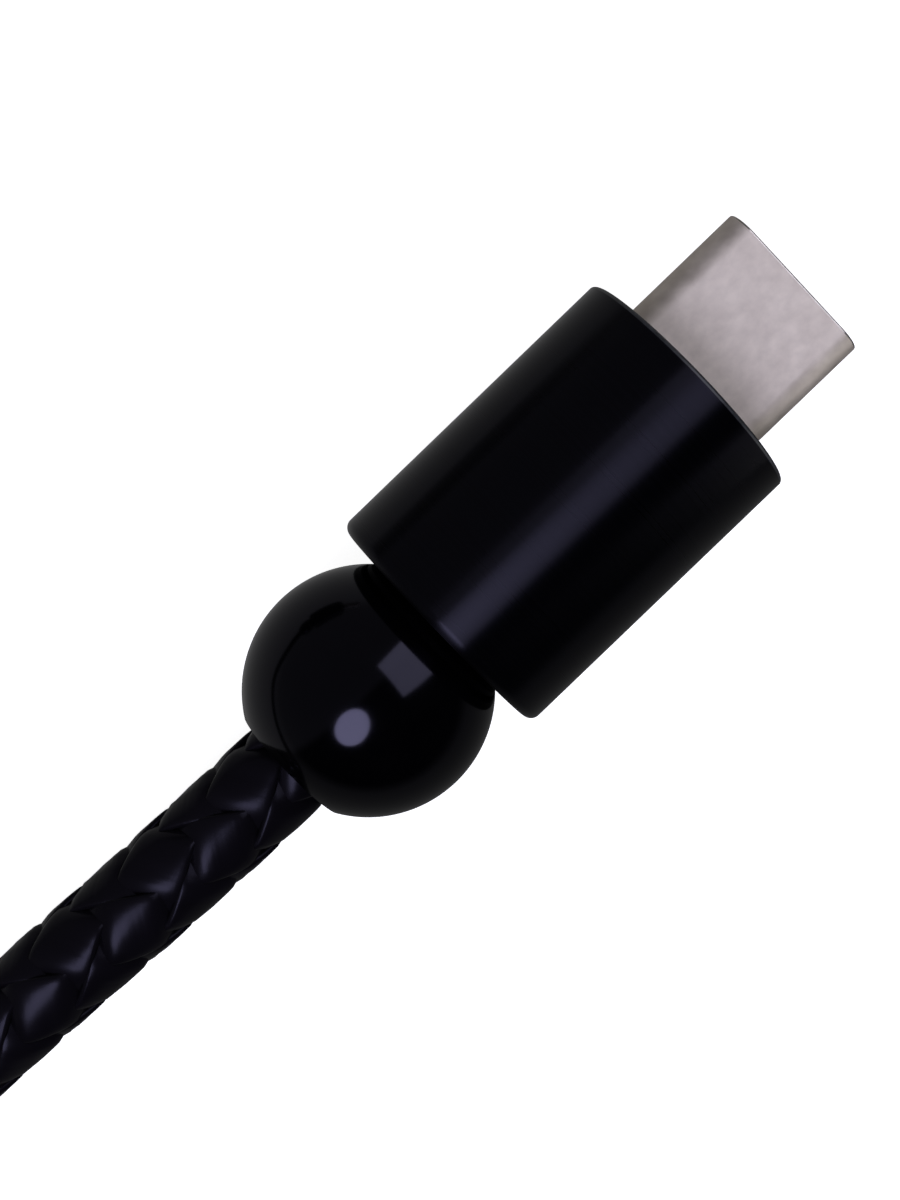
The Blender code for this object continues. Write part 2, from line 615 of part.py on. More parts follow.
def a_plug(parent, finishes):
    tip, shell_rear = A_SHELL_EXPOSED, -A_SHELL_BURIED
    inner_width = A_SHELL_WIDTH - 2 * A_SHELL_WALL
    inner_height = A_SHELL_HEIGHT - 2 * A_SHELL_WALL
    outer = rounded_rectangle(A_SHELL_WIDTH, A_SHELL_HEIGHT, A_SHELL_CORNER)
    inner = rounded_rectangle(inner_width, inner_height, A_SHELL_CORNER - A_SHELL_WALL)
    shell = sleeve(
        "usb_a_shell", [(shell_rear, outer), (tip, outer)], [(shell_rear, inner), (tip, inner)],
        parent, finishes["plug_steel"],
    )
    window_x = tip - A_WINDOW_FROM_TIP
    for side, word in ((-1, "right"), (1, "left")):
        outline = rectangle(A_WINDOW_SIZE[1], 2 * A_SHELL_HEIGHT, side * A_WINDOW_SPACING / 2)
        cutter = extruded(
            f"usb_a_{word}_windows_cutter", outline, window_x - A_WINDOW_SIZE[0] / 2,
            window_x + A_WINDOW_SIZE[0] / 2, parent, None,
        )
        cut(shell, cutter)

    rear = shell_rear + FINE_GAP
    half_width = inner_width / 2 - GAP
    half_height = inner_height / 2 - FINE_GAP
    groove_floor = A_TONGUE_TOP - A_GROOVE_DEPTH
    groove_width = A_CONTACT_WIDTH + 2 * FINE_GAP
    outline = [(-half_width, -half_height), (half_width, -half_height), (half_width, A_TONGUE_TOP)]
    for centre in reversed(A_CONTACT_PLACES):
        high, low = centre + groove_width / 2, centre - groove_width / 2
        outline += [(high, A_TONGUE_TOP), (high, groove_floor), (low, groove_floor), (low, A_TONGUE_TOP)]
    outline += [(-half_width, A_TONGUE_TOP)]
    extruded(
        "usb_a_tongue", outline, rear, tip - A_TONGUE_SET_BACK, parent, finishes["white_insulator"]
    )
    block(
        "usb_a_contact_retainer", (rear, -half_width, A_TONGUE_TOP + FINE_GAP),
        (A_RETAINER_FRONT, half_width, half_height), parent, finishes["white_insulator"],
    )
    contact_height = groove_floor + FINE_GAP + A_CONTACT_THICKNESS / 2
    for number, (centre, set_back) in enumerate(zip(A_CONTACT_PLACES, A_CONTACT_FROM_TIP), 1):
        path = [(shell_rear - A_CONTACT_TAIL, contact_height), (tip - set_back, contact_height)]
        strip(
            f"usb_a_contact_{number}", path, A_CONTACT_WIDTH, A_CONTACT_THICKNESS, centre, parent,
            finishes["gold_contact"],
        )

    can_front = shell_rear - CAN_GAP_TO_SHELL
    rear_can(
        "usb_a", A_CAN_WIDTH, A_CAN_HEIGHT, A_CAN_CORNER, can_front, A_CAN_LENGTH, parent, finishes
    )
    inner_mould(
        "usb_a", A_BARREL_DIAMETER, (A_CAN_WIDTH, A_CAN_HEIGHT), A_CAN_CORNER, can_front,
        A_CAN_LENGTH, parent, finishes,
    )
    solder_height = contact_height + A_CONTACT_THICKNESS / 2 + FINE_GAP + WIRE_DIAMETER / 2
    ends = [(can_front - GAP, centre, solder_height) for centre in A_CONTACT_PLACES]
    wires("usb_a", A_BARREL_LENGTH, ends, parent, finishes)


def a_end(finishes):
    parent = place("usb_a_end", (A_FRONT_X, A_Y, A_AXIS_Z))
    window = rounded_rectangle(
        A_SHELL_WIDTH + 2 * GAP, A_SHELL_HEIGHT + 2 * GAP, A_SHELL_CORNER + GAP
    )
    barrel("usb_a", A_BARREL_DIAMETER, A_BARREL_LENGTH, window, parent, finishes)
    a_plug(parent, finishes)
    bush("usb_a", A_BARREL_DIAMETER, A_BARREL_LENGTH, parent, finishes)
    ferrule("usb_a", A_BARREL_LENGTH, parent, finishes)
    jacket("usb_a", A_BARREL_LENGTH, parent, finishes)
    bead("usb_a", A_BARREL_LENGTH, finishes, parent)


# The cord

def cord_route():
    """The hand-chosen points, with the two straight ends that lie inside the barrels."""
    c_exit = C_FRONT_X - C_BARREL_LENGTH
    points = [Vector((c_exit + CORD_BURIED, 0, C_AXIS_Z)), Vector((c_exit, 0, C_AXIS_Z))]
    points += [Vector(point) * MM for point in ROUTE_MM]
    points += [Vector((A_REAR_X, A_Y, A_AXIS_Z)), Vector((A_REAR_X + CORD_BURIED, A_Y, A_AXIS_Z))]
    return points


def smooth_curve(points, samples):
    """A centripetal Catmull-Rom curve through the points."""
    ends = [2 * points[0] - points[1]] + points + [2 * points[-1] - points[-2]]
    curve = [points[0].copy()]
    for p0, p1, p2, p3 in zip(ends, ends[1:], ends[2:], ends[3:]):
        t0 = 0.0
        t1 = t0 + math.sqrt((p1 - p0).length)
        t2 = t1 + math.sqrt((p2 - p1).length)
        t3 = t2 + math.sqrt((p3 - p2).length)
        for step in range(1, samples + 1):
            t = t1 + (t2 - t1) * step / samples
            a1 = p0.lerp(p1, (t - t0) / (t1 - t0))
            a2 = p1.lerp(p2, (t - t1) / (t2 - t1))
            a3 = p2.lerp(p3, (t - t2) / (t3 - t2))
            b1 = a1.lerp(a2, (t - t0) / (t2 - t0))
            b2 = a2.lerp(a3, (t - t1) / (t3 - t1))
            curve.append(b1.lerp(b2, (t - t1) / (t2 - t1)))
    return curve


def evenly_spaced(curve, spacing):
    """Points at equal steps along the curve, its two ends among them."""
    reach = [0.0]
    for first, second in zip(curve, curve[1:]):
        reach.append(reach[-1] + (second - first).length)
    count = max(2, round(reach[-1] / spacing))
    points, at = [], 0
    for step in range(count + 1):
        wanted = reach[-1] * step / count
        while at < len(curve) - 2 and reach[at + 1] < wanted:
            at += 1
        share = (wanted - reach[at]) / (reach[at + 1] - reach[at])
        points.append(curve[at].lerp(curve[at + 1], share))
    return points


def cord(finishes):
    points = evenly_spaced(smooth_curve(cord_route(), ROUTE_SAMPLES), CORD_POINT_SPACING)
    tube("braided_cord", points, CORD_DIAMETER, 3, None, finishes["black_leather"])


def main():
    for old in list(bpy.data.objects):
        bpy.data.objects.remove(old)
    finishes = all_finishes()
    c_end(finishes)
    a_end(finishes)
    cord(finishes)


main()
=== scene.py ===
"""Charging cable: a plaited leather cord between a USB-C plug and a USB-A plug, each with a round
black barrel and a sliding black bead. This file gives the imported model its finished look."""

import math

import bmesh
import bpy
from mathutils import Matrix, Vector


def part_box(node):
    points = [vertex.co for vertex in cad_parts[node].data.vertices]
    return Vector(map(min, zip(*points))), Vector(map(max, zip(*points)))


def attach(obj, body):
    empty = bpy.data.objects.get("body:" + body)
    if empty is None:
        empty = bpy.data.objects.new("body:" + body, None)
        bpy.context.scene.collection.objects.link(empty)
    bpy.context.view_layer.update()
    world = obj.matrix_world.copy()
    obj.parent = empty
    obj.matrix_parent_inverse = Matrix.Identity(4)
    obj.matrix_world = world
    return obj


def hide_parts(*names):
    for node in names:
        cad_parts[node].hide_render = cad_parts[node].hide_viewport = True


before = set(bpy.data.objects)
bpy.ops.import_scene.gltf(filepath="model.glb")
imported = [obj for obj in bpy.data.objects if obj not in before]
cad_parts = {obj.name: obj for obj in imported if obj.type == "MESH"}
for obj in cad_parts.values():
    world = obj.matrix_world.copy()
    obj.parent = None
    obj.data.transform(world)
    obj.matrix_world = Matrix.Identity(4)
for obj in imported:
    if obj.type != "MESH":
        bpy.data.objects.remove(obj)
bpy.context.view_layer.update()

MM = 0.001
MATH = "ShaderNodeMath"
VECTOR_MATH = "ShaderNodeVectorMath"

# ---- Camera ---------------------------------------------------------------------------------
# It stands almost straight above the USB-C barrel and leans a little towards the cord, turned
# so that the plug points up and to the right.

c_barrel_low, c_barrel_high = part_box("usb_c_barrel")
c_front = Vector((c_barrel_high.x, (c_barrel_low.y + c_barrel_high.y) / 2,
                  (c_barrel_low.z + c_barrel_high.z) / 2))

CAMERA_FROM_FRONT = Vector((-12.3, 10.6, 98.5)) * MM
AIM_FROM_FRONT = Vector((-14.49, 0.4, 0.0)) * MM
PLUG_TURN = math.radians(44.1)  # from the picture's right edge up to the plug's direction
LENS = 65.5

back = (CAMERA_FROM_FRONT - AIM_FROM_FRONT).normalized()
flat_right = Vector((math.cos(PLUG_TURN), -math.sin(PLUG_TURN), 0))
right = (flat_right - back * flat_right.dot(back)).normalized()
turn = Matrix((right, back.cross(right), back)).transposed()

camera = bpy.data.objects.new("camera", bpy.data.cameras.new("camera"))
bpy.context.scene.collection.objects.link(camera)
camera.matrix_world = Matrix.Translation(c_front + CAMERA_FROM_FRONT) @ turn.to_4x4()
camera.data.lens = LENS
camera.data.clip_start = 1 * MM
bpy.context.scene.camera = camera

# ---- Plaited cord ---------------------------------------------------------------------------
# Eight flat laces of black waxed leather, plaited round the cable's core, four winding each way
# and every lace passing over one and under one. The ends are clamped inside the two barrels.

ROUTE_MM = (
    (-18.0, 0.05, 6.15), (-24.0, 0.12, 6.15), (-29.5, 0.27, 6.15), (-35.5, 0.46, 5.7),
    (-42.0, 0.5, 4.6), (-49.0, 0.5, 3.4), (-56.0, 0.7, 2.6), (-62.9, 1.8, 2.45),
    (-69.3, 4.5, 2.45), (-74.8, 8.9, 2.45), (-78.8, 14.7, 2.45), (-80.9, 21.4, 2.45),
    (-81.0, 28.4, 2.45), (-78.9, 35.0, 2.45), (-74.8, 40.7, 2.45), (-69.3, 45.0, 2.45),
    (-62.9, 47.9, 2.5), (-56.1, 49.4, 3.0), (-49.4, 49.9, 4.15), (-43.2, 50.0, 5.6),
    (-37.2, 50.0, 6.95), (-31.8, 50.0, 7.65), (-27.5, 50.0, 7.75), (-22.5, 50.0, 7.75),
    (-17.0, 50.0, 7.75),
)
CORD_DIAMETER = 4.5 * MM
CORD_BURIED = 4.5 * MM  # length of cord inside each barrel
ROUTE_SAMPLES = 24  # per stretch between two route points
CENTRE_STEP = 0.3 * MM
LACE_WIDTH = 3.0 * MM
PLAIT_SIZES = {
    "Laces Each Way": 4,
    "Lead": 21.5 * MM,  # length of cord in which a lace goes once round
    "Middle Radius": 1.84 * MM,
    "Rise": 0.30 * MM,  # how far a lace rises over the next and dips under the one after
    "Lace Width": LACE_WIDTH,
    "Lace Thickness": 0.50 * MM,
    "Lace Squareness": 0.5,
    "Edge Lip": 0.05 * MM,  # how far a lace's cut edges curl up
    "Lace Bend": 0.30 / MM,  # how sharply a lace is bent round the cord, across its width
    "Column Angle": math.radians(31),  # from straight up to where the first two laces cross
    "First Crossing": 4.7 * MM,  # from the cord's start to that crossing
    "Unevenness": 0.06 * MM,  # how far a lace wanders in and out
    "Core Radius": 1.2 * MM,
    "Core Sides": 16,
    "Lace Sides": 18,
}

a_barrel_low, a_barrel_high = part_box("usb_a_barrel")
a_front = Vector((a_barrel_high.x, (a_barrel_low.y + a_barrel_high.y) / 2,
                  (a_barrel_low.z + a_barrel_high.z) / 2))
c_exit = Vector((c_barrel_low.x, c_front.y, c_front.z))
a_exit = Vector((a_barrel_low.x, a_front.y, a_front.z))


def hex_colour(code):
    """The linear colour of an sRGB hex code such as "#808080"."""
    shares = [int(code[at : at + 2], 16) / 255 for at in (1, 3, 5)]
    return (*[s / 12.92 if s <= 0.04045 else ((s + 0.055) / 1.055) ** 2.4 for s in shares], 1.0)


def add_node(tree, kind, inputs=(), **settings):
    """A new node with its settings made, and its inputs set to values or linked to sockets. A node
    given as an input stands for its first output, and a list gives the inputs in their order."""
    node = tree.nodes.new(kind)
    for setting, value in settings.items():
        setattr(node, setting, value)
    named = inputs.items() if isinstance(inputs, dict) else enumerate(inputs)
    for socket, value in named:
        if isinstance(value, bpy.types.Node):
            value = next(output for output in value.outputs if output.enabled)
        if isinstance(value, bpy.types.NodeSocket):
            tree.links.new(value, node.inputs[socket])
        else:
            node.inputs[socket].default_value = value
    return node


def finish(name, **sockets):
    """A material named for its finish, and its shader, with the sockets that are even all over."""
    material = bpy.data.materials.new(name)
    material.use_nodes = True
    shader = material.node_tree.nodes["Principled BSDF"]
    for socket, value in sockets.items():
        shader.inputs[socket.replace("_", " ")].default_value = value
    return material, material.node_tree, shader


# Split leather, dyed through, waxed and skived thin: nearly black and smooth, with a soft gloss on
# each lace's crown, a fine grain along it, and rougher cut edges.
LACE_GRAIN = 0.25 * MM
LACE_CREASE = (2.4 * MM, 0.22 * MM)  # along and across the lace
LACE_BLOTCH = (1.7 * MM, 1.1 * MM)
CUT_EDGE = 0.43  # share of a lace's width, from its middle, at which its rough cut edge begins
leather, tree, shader = finish("waxed_black_leather", IOR=1.45, Specular_IOR_Level=0.15,
                               Specular_Tint=hex_colour("#e0dcff"))
along, across, lace = [
    add_node(tree, "ShaderNodeAttribute", attribute_name=label).outputs["Fac"]
    for label in ("along", "across", "lace")]
place = add_node(tree, "ShaderNodeCombineXYZ", [along, across, lace])
grain_place = add_node(tree, "ShaderNodeMapping", {
    "Vector": place, "Scale": (1 / LACE_GRAIN, 1 / LACE_GRAIN, 3)})
grain = add_node(tree, "ShaderNodeTexVoronoi", {"Vector": grain_place, "Scale": 1.0},
                 feature="SMOOTH_F1")
crease_place = add_node(tree, "ShaderNodeMapping", {
    "Vector": place, "Scale": (1 / LACE_CREASE[0], 1 / LACE_CREASE[1], 5)})
creases = add_node(tree, "ShaderNodeTexNoise", {"Vector": crease_place, "Scale": 1.0, "Detail": 3.0})
blotch_place = add_node(tree, "ShaderNodeMapping", {
    "Vector": place, "Scale": (1 / LACE_BLOTCH[0], 1 / LACE_BLOTCH[1], 7)})
blotches = add_node(tree, "ShaderNodeTexNoise", {
    "Vector": blotch_place, "Scale": 1.0, "Detail": 2.0})
edge = add_node(tree, "ShaderNodeMapRange", {
    "Value": add_node(tree, MATH, [across], operation="ABSOLUTE"),
    "From Min": LACE_WIDTH * CUT_EDGE, "From Max": LACE_WIDTH / 2})
colour = add_node(tree, "ShaderNodeMix", {
    "Factor": blotches, "A": hex_colour("#09080b"), "B": hex_colour("#121015")}, data_type="RGBA")
rough = add_node(tree, "ShaderNodeMapRange", {
    "Value": blotches, "From Min": 0.3, "From Max": 0.7, "To Min": 0.24, "To Max": 0.34})
rough_edges = add_node(tree, MATH, [edge, 0.15, rough], operation="MULTIPLY_ADD")
relief = add_node(tree, MATH, [creases, 0.6, grain], operation="MULTIPLY_ADD")
bump = add_node(tree, "ShaderNodeBump", {"Height": relief, "Strength": 0.4, "Distance": 0.02 * MM})
tree.links.new(colour.outputs["Result"], shader.inputs["Base Color"])
tree.links.new(rough_edges.outputs[0], shader.inputs["Roughness"])
tree.links.new(bump.outputs[0], shader.inputs["Normal"])


def speckled(name, colours, grain, roughness, relief, **sockets):
    """A material whose colour, roughness and fine relief vary a little in grains of this size, given
    along X, Y and Z, so that long thin grains make it brushed, drawn or turned."""
    material, tree, shader = finish(name, **sockets)
    place = add_node(tree, "ShaderNodeMapping", {
        "Vector": add_node(tree, "ShaderNodeTexCoord").outputs["Object"],
        "Scale": tuple(1 / size for size in grain)})
    grains = add_node(tree, "ShaderNodeTexNoise", {"Vector": place, "Scale": 1.0, "Detail": 3.0})
    share = add_node(tree, "ShaderNodeMapRange", {"Value": grains, "From Min": 0.3, "From Max": 0.7})
    colour = add_node(tree, "ShaderNodeMix", {
        "Factor": share, "A": hex_colour(colours[0]), "B": hex_colour(colours[1])},
        data_type="RGBA")
    rough = add_node(tree, "ShaderNodeMapRange", {
        "Value": share, "To Min": roughness[0], "To Max": roughness[1]})
    bump = add_node(tree, "ShaderNodeBump", {"Height": grains, "Strength": 0.5, "Distance": relief})
    tree.links.new(colour.outputs["Result"], shader.inputs["Base Color"])
    tree.links.new(rough.outputs[0], shader.inputs["Roughness"])
    tree.links.new(bump.outputs[0], shader.inputs["Normal"])
    return material


# Extruded soft PVC over the cable's core, matt dark grey. The laces hide nearly all of it.
core_pvc = speckled("matt_core_pvc", ("#101012", "#1b1b1e"), (0.8 * MM,) * 3, (0.5, 0.65),
                    0.01 * MM, IOR=1.53)


def geometry_tree(name, **inputs):
    """A Geometry Nodes tree with one named input for each size, and its group input's sockets."""
    tree = bpy.data.node_groups.new(name, "GeometryNodeTree")
    for label, kind in {"Geometry": "Geometry", **inputs}.items():
        tree.interface.new_socket(label.replace("_", " "), in_out="INPUT",
                                  socket_type="NodeSocket" + kind)
    tree.interface.new_socket("Geometry", in_out="OUTPUT", socket_type="NodeSocketGeometry")
    return tree, tree.nodes.new("NodeGroupInput").outputs


def grown(name, points, edges, tree, sizes):
    """The plain mesh object that the tree makes of these points, with its inputs set to the sizes."""
    start = bpy.data.meshes.new(name)
    start.from_pydata(points, edges, [])
    piece = bpy.data.objects.new(name, start)
    bpy.context.scene.collection.objects.link(piece)
    modifier = piece.modifiers.new(tree.name, "NODES")
    modifier.node_group = tree
    for socket in tree.interface.items_tree:
        if socket.in_out == "INPUT" and socket.name in sizes:
            modifier[socket.identifier] = sizes[socket.name]
    graph = bpy.context.evaluated_depsgraph_get()
    made = bpy.data.meshes.new_from_object(
        piece.evaluated_get(graph), preserve_all_data_layers=True, depsgraph=graph)
    piece.modifiers.remove(modifier)
    piece.data = made
    return piece


plait, given = geometry_tree(
    "plait", Laces_Each_Way="Int", Lead="Float", Middle_Radius="Float", Rise="Float",
    Lace_Width="Float", Lace_Thickness="Float", Lace_Squareness="Float", Edge_Lip="Float",
    Lace_Bend="Float", Column_Angle="Float", First_Crossing="Float", Unevenness="Float",
    Core_Radius="Float", Core_Sides="Int", Lace_Sides="Int", Leather="Material",
    Core_Finish="Material")
line = add_node(plait, "GeometryNodeMeshToCurve", [given["Geometry"]])
copies = add_node(plait, "GeometryNodeDuplicateElements", {
    "Geometry": line,
    "Amount": add_node(plait, MATH, [given["Laces Each Way"], 2.0], operation="MULTIPLY")},
    domain="SPLINE")
number = copies.outputs["Duplicate Index"]
reach = add_node(plait, "GeometryNodeSplineParameter").outputs["Length"]
ahead = add_node(plait, "GeometryNodeInputTangent")

# The first laces wind one way and the others the other way, each from its own start angle.
count_from_half = add_node(plait, MATH, [number, given["Laces Each Way"]], operation="SUBTRACT")
hand = add_node(plait, MATH, [add_node(plait, MATH, [count_from_half, 0.5])], operation="SIGN")
past_crossing = add_node(plait, MATH, [reach, given["First Crossing"]], operation="SUBTRACT")
turns = add_node(plait, MATH, [past_crossing, given["Lead"]], operation="DIVIDE")
wound = add_node(plait, MATH, [turns, math.tau], operation="MULTIPLY")
start_share = add_node(plait, MATH, [number, given["Laces Each Way"]], operation="DIVIDE")
start_angle = add_node(plait, MATH, [start_share, math.tau, given["Column Angle"]],
                       operation="MULTIPLY_ADD")
lace_angle = add_node(plait, MATH, [wound, hand, start_angle], operation="MULTIPLY_ADD")

# A lace rises where it crosses over and dips where it crosses under, on a flattened wave.
wave = add_node(plait, MATH, [add_node(
    plait, MATH, [wound, given["Laces Each Way"]], operation="MULTIPLY")], operation="COSINE")
for _ in range(2):
    wave_squared = add_node(plait, MATH, [wave, wave], operation="MULTIPLY")
    flattening = add_node(plait, MATH, [wave_squared, -0.5, 1.5], operation="MULTIPLY_ADD")
    wave = add_node(plait, MATH, [wave, flattening], operation="MULTIPLY")
rise = add_node(plait, MATH, [wave, given["Rise"]], operation="MULTIPLY")
own_rise = add_node(plait, MATH, [rise, hand], operation="MULTIPLY")
lace_radius = add_node(plait, MATH, [given["Middle Radius"], own_rise], operation="SUBTRACT")
wobble = add_node(plait, "ShaderNodeTexNoise", {
    "Vector": add_node(plait, "ShaderNodeCombineXYZ", [
        reach, add_node(plait, MATH, [number, 7.3], operation="MULTIPLY")]),
    "Scale": 1.0, "Detail": 1.0}, noise_dimensions="2D")
off_wobble = add_node(plait, MATH, [wobble, 0.5], operation="SUBTRACT")
uneven_radius = add_node(plait, MATH, [off_wobble, given["Unevenness"], lace_radius],
                         operation="MULTIPLY_ADD")

# Outwards starts straight up and turns about the cord's own line.
sideways = add_node(plait, VECTOR_MATH, [(0.0, 0.0, 1.0), ahead], operation="CROSS_PRODUCT")
upwards = add_node(plait, VECTOR_MATH, [add_node(
    plait, VECTOR_MATH, [ahead, sideways], operation="CROSS_PRODUCT")], operation="NORMALIZE")
outwards = add_node(plait, "ShaderNodeVectorRotate", {
    "Vector": upwards, "Axis": ahead, "Angle": lace_angle}, rotation_type="AXIS_ANGLE")
laid = copies
for label, value, kind in (("outwards", outwards, "FLOAT_VECTOR"), ("along", reach, "FLOAT"),
                           ("lace", number, "FLOAT")):
    laid = add_node(plait, "GeometryNodeStoreNamedAttribute", {
        "Geometry": laid.outputs[0], "Name": label}, data_type=kind, domain="POINT")
    plait.links.new(value if isinstance(value, bpy.types.NodeSocket) else value.outputs[0],
                    laid.inputs["Value"])
offset = add_node(plait, VECTOR_MATH, {0: outwards, "Scale": uneven_radius}, operation="SCALE")
laid = add_node(plait, "GeometryNodeSetPosition", {"Geometry": laid, "Offset": offset})
laid = add_node(plait, "GeometryNodeSetCurveNormal", {"Curve": laid}, mode="FREE")
kept_outwards = add_node(plait, "GeometryNodeInputNamedAttribute", {"Name": "outwards"},
                         data_type="FLOAT_VECTOR")
plait.links.new(kept_outwards.outputs[0], laid.inputs["Normal"])

# A lace's section: a flat strip with rounded edges, bent to follow the cord.
ring = add_node(plait, "GeometryNodeCurvePrimitiveCircle", {
    "Resolution": given["Lace Sides"], "Radius": 1.0})
ring_parts = add_node(plait, "ShaderNodeSeparateXYZ", [add_node(
    plait, "GeometryNodeInputPosition")]).outputs
strip_parts = []
for part, full_size in ((ring_parts["Y"], "Lace Width"), (ring_parts["X"], "Lace Thickness")):
    size = add_node(plait, MATH, [add_node(plait, MATH, [part], operation="ABSOLUTE"),
                                  given["Lace Squareness"]], operation="POWER")
    signed = add_node(plait, MATH, [size, add_node(plait, MATH, [part], operation="SIGN")],
                      operation="MULTIPLY")
    half_size = add_node(plait, MATH, [given[full_size], 0.5], operation="MULTIPLY")
    strip_parts.append(add_node(plait, MATH, [signed, half_size], operation="MULTIPLY"))
width_place, height_place = strip_parts
width_squared = add_node(plait, MATH, [width_place, width_place], operation="MULTIPLY")
half_bend = add_node(plait, MATH, [given["Lace Bend"], -0.5], operation="MULTIPLY")
bent_height = add_node(plait, MATH, [width_squared, half_bend, height_place],
                       operation="MULTIPLY_ADD")
near_edge = add_node(plait, MATH, [add_node(plait, MATH, [ring_parts["Y"]], operation="ABSOLUTE"),
                                   4.0], operation="POWER")
bent_height = add_node(plait, MATH, [near_edge, given["Edge Lip"], bent_height],
                       operation="MULTIPLY_ADD")
section = add_node(plait, "GeometryNodeSetPosition", {
    "Geometry": ring,
    "Position": add_node(plait, "ShaderNodeCombineXYZ", [bent_height, width_place])})
section = add_node(plait, "GeometryNodeStoreNamedAttribute", {
    "Geometry": section, "Name": "across", "Value": width_place},
    data_type="FLOAT", domain="POINT")

laces = add_node(plait, "GeometryNodeCurveToMesh", {
    "Curve": laid, "Profile Curve": section, "Fill Caps": True})
core = add_node(plait, "GeometryNodeCurveToMesh", {
    "Curve": line, "Profile Curve": add_node(plait, "GeometryNodeCurvePrimitiveCircle", {
        "Resolution": given["Core Sides"], "Radius": given["Core Radius"]}), "Fill Caps": True})
core = add_node(plait, "GeometryNodeStoreNamedAttribute", {
    "Geometry": core, "Name": "core", "Value": True}, data_type="BOOLEAN", domain="FACE")
joined = add_node(plait, "GeometryNodeJoinGeometry", [laces])
plait.links.new(core.outputs[0], joined.inputs[0])
smooth = add_node(plait, "GeometryNodeSetShadeSmooth", [joined])
real = add_node(plait, "GeometryNodeRealizeInstances", [smooth])
laces_done = add_node(plait, "GeometryNodeSetMaterial", {
    "Geometry": real, "Material": given["Leather"]})
of_core = add_node(plait, "GeometryNodeInputNamedAttribute", {"Name": "core"}, data_type="BOOLEAN")
all_done = add_node(plait, "GeometryNodeSetMaterial", {
    "Geometry": laces_done, "Selection": of_core, "Material": given["Core Finish"]})
add_node(plait, "NodeGroupOutput", [all_done])


def smooth_curve(points, samples):
    """A centripetal Catmull-Rom curve through the points."""
    ends = [2 * points[0] - points[1]] + points + [2 * points[-1] - points[-2]]
    curve = [points[0].copy()]
    for p0, p1, p2, p3 in zip(ends, ends[1:], ends[2:], ends[3:]):
        t0 = 0.0
        t1 = t0 + math.sqrt((p1 - p0).length)
        t2 = t1 + math.sqrt((p2 - p1).length)
        t3 = t2 + math.sqrt((p3 - p2).length)
        for step in range(1, samples + 1):
            t = t1 + (t2 - t1) * step / samples
            a1 = p0.lerp(p1, (t - t0) / (t1 - t0))
            a2 = p1.lerp(p2, (t - t1) / (t2 - t1))
            a3 = p2.lerp(p3, (t - t2) / (t3 - t2))
            b1 = a1.lerp(a2, (t - t0) / (t2 - t0))
            b2 = a2.lerp(a3, (t - t1) / (t3 - t1))
            curve.append(b1.lerp(b2, (t - t1) / (t2 - t1)))
    return curve


def evenly_spaced(curve, spacing):
    """Points at equal steps along the curve, its two ends among them."""
    reach = [0.0]
    for first, second in zip(curve, curve[1:]):
        reach.append(reach[-1] + (second - first).length)
    count = round(reach[-1] / spacing)
    points, at = [], 0
    for step in range(count + 1):
        wanted = reach[-1] * step / count
        while at < len(curve) - 2 and reach[at + 1] < wanted:
            at += 1
        share = (wanted - reach[at]) / (reach[at + 1] - reach[at])
        points.append(curve[at].lerp(curve[at + 1], share))
    return points


route = [c_exit + Vector((CORD_BURIED, 0, 0)), c_exit]
route += [Vector(point) * MM for point in ROUTE_MM]
route += [a_exit, a_exit + Vector((CORD_BURIED, 0, 0))]
centre_line = evenly_spaced(smooth_curve(route, ROUTE_SAMPLES), CENTRE_STEP)
cord = grown("plaited_leather_cord", centre_line,
             [(at, at + 1) for at in range(len(centre_line) - 1)], plait,
             {**PLAIT_SIZES, "Leather": leather, "Core Finish": core_pvc})
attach(cord, "root")
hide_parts("braided_cord")

# ---- Barrels --------------------------------------------------------------------------------
# The two grips, turned from aluminium bar and bored out from the rear, which leaves a front wall
# with the plug's opening in it. Anodised and dyed black, each is pressed over its moulded core.

GAP = 0.3 * MM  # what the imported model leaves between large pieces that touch
A_SHELL_CORNER = 0.6 * MM
CORNER_MARGIN = 0.005 * MM  # keeps the two corners of a fully round side apart
BARREL_WALL = 1.2 * MM
BARREL_FRONT_EDGE = 0.2 * MM
BARREL_REAR_EDGE = 0.5 * MM
BORE_EDGE = 0.12 * MM
QUARTER_STEPS = 36  # points in a quarter of a turned piece
SHARP_FROM = math.radians(35)  # a larger angle between two faces shows as an edge
TURNING_MARKS = (0.09 * MM, 60 * MM, 60 * MM)  # real marks are finer, too fine to show

c_shell_low, c_shell_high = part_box("usb_c_shell")
c_end = {"name": "usb_c", "front": c_front, "shell_corner": (c_shell_high.z - c_shell_low.z) / 2}
a_end = {"name": "usb_a", "front": a_front, "shell_corner": A_SHELL_CORNER}
for end in (c_end, a_end):
    end["barrel"], end["shell"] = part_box(end["name"] + "_barrel"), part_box(end["name"] + "_shell")
    end["pieces"] = []


def arc(centre_x, centre_r, radius, start, stop, steps):
    """(x, radius) points along an arc, with its angles in degrees from the front."""
    angles = [math.radians(start + (stop - start) * step / steps) for step in range(steps + 1)]
    return [(centre_x + radius * math.cos(a), centre_r + radius * math.sin(a)) for a in angles]


def rounded_ring(width, height, corner, steps):
    """(y, z) points round a rounded rectangle, with this many points on each corner."""
    points = []
    for quarter, (side_y, side_z) in enumerate(((1, 1), (-1, 1), (-1, -1), (1, -1))):
        for step in range(steps):
            angle = math.pi / 2 * (quarter + (step + 0.5) / steps)
            points.append((side_y * (width / 2 - corner) + corner * math.cos(angle),
                           side_z * (height / 2 - corner) + corner * math.sin(angle)))
    return points


